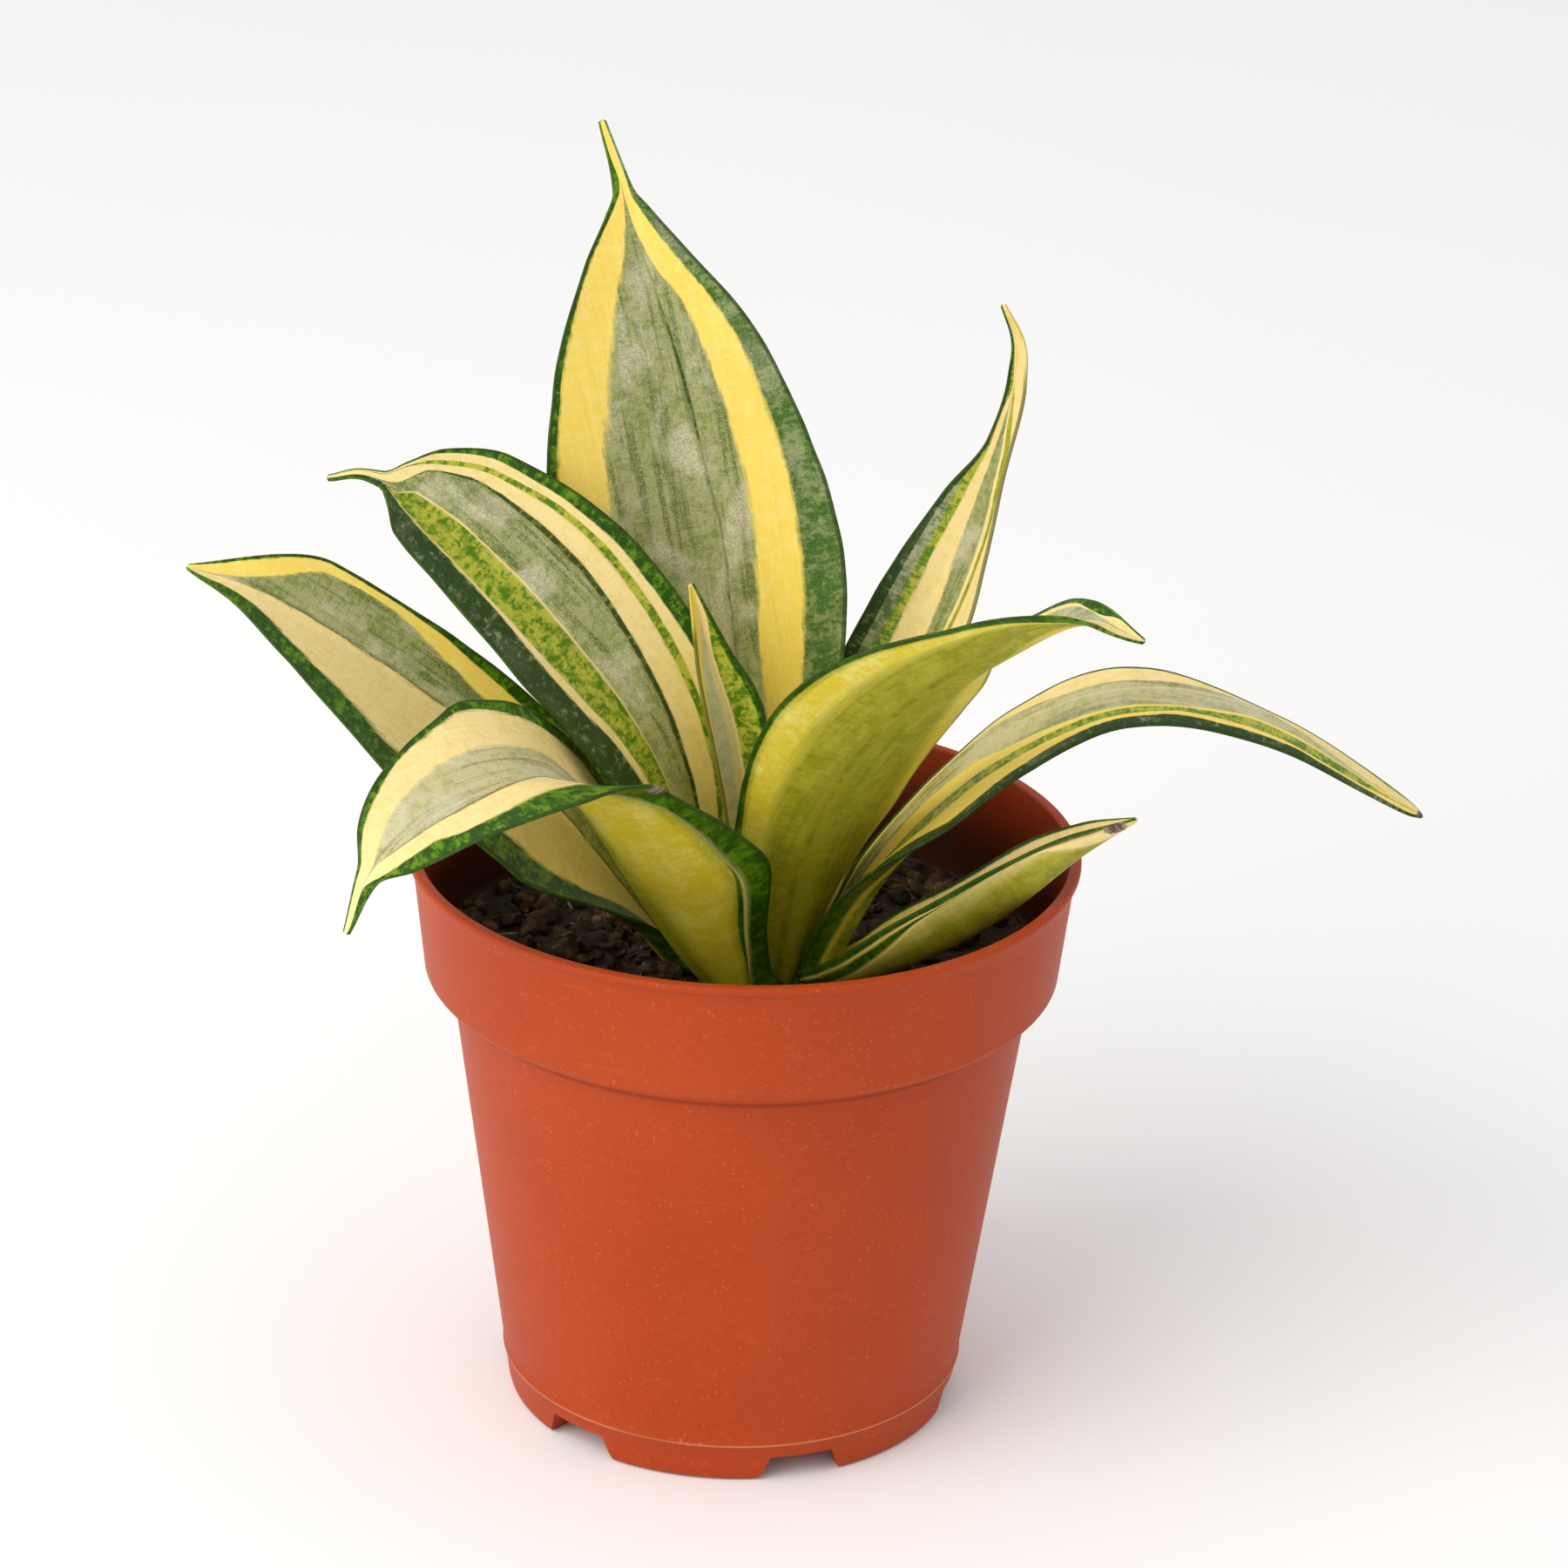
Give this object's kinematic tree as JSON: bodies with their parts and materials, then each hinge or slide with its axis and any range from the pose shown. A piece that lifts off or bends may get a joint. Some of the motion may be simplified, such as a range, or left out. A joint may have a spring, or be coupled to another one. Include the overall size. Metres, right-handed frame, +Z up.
{
  "type": "potted snake plant",
  "caption": "Dwarf variegated snake plant with broad folded leaves in a round tapered plastic nursery pot of soil.",
  "frame": {"origin": "centre of the pot's base pad, on the pot's axis, at the plane the pot rests on", "axes": "+Z up along the pot's axis, -Y to the front, +X to the right seen from the front"},
  "size_m": [0.1858, 0.1036, 0.1929],
  "materials": {
    "pot_plastic": "matte moulded, fine speckle",
    "soil": "damp crumbly peat",
    "leaf": "waxy satin with lengthwise green, yellow and silver stripes",
    "perlite": "rough mineral",
    "bark": "rough dry"
  },
  "bodies": {
    "root": {"nursery_pot": "pot_plastic", "potting_soil": "soil", "leaf_tall_back": "leaf", "leaf_upper_left": "leaf", "leaf_lower_left": "leaf", "leaf_front_folded": "leaf", "leaf_front_right": "leaf", "leaf_arching_right": "leaf", "leaf_low_right": "leaf", "leaf_back_right": "leaf", "leaf_young_centre": "leaf", "perlite_grain_front": "perlite", "perlite_grain_back": "perlite", "bark_chip_right": "bark", "bark_chip_left": "bark", "straw_stub": "bark"}
  },
  "joints": []
}
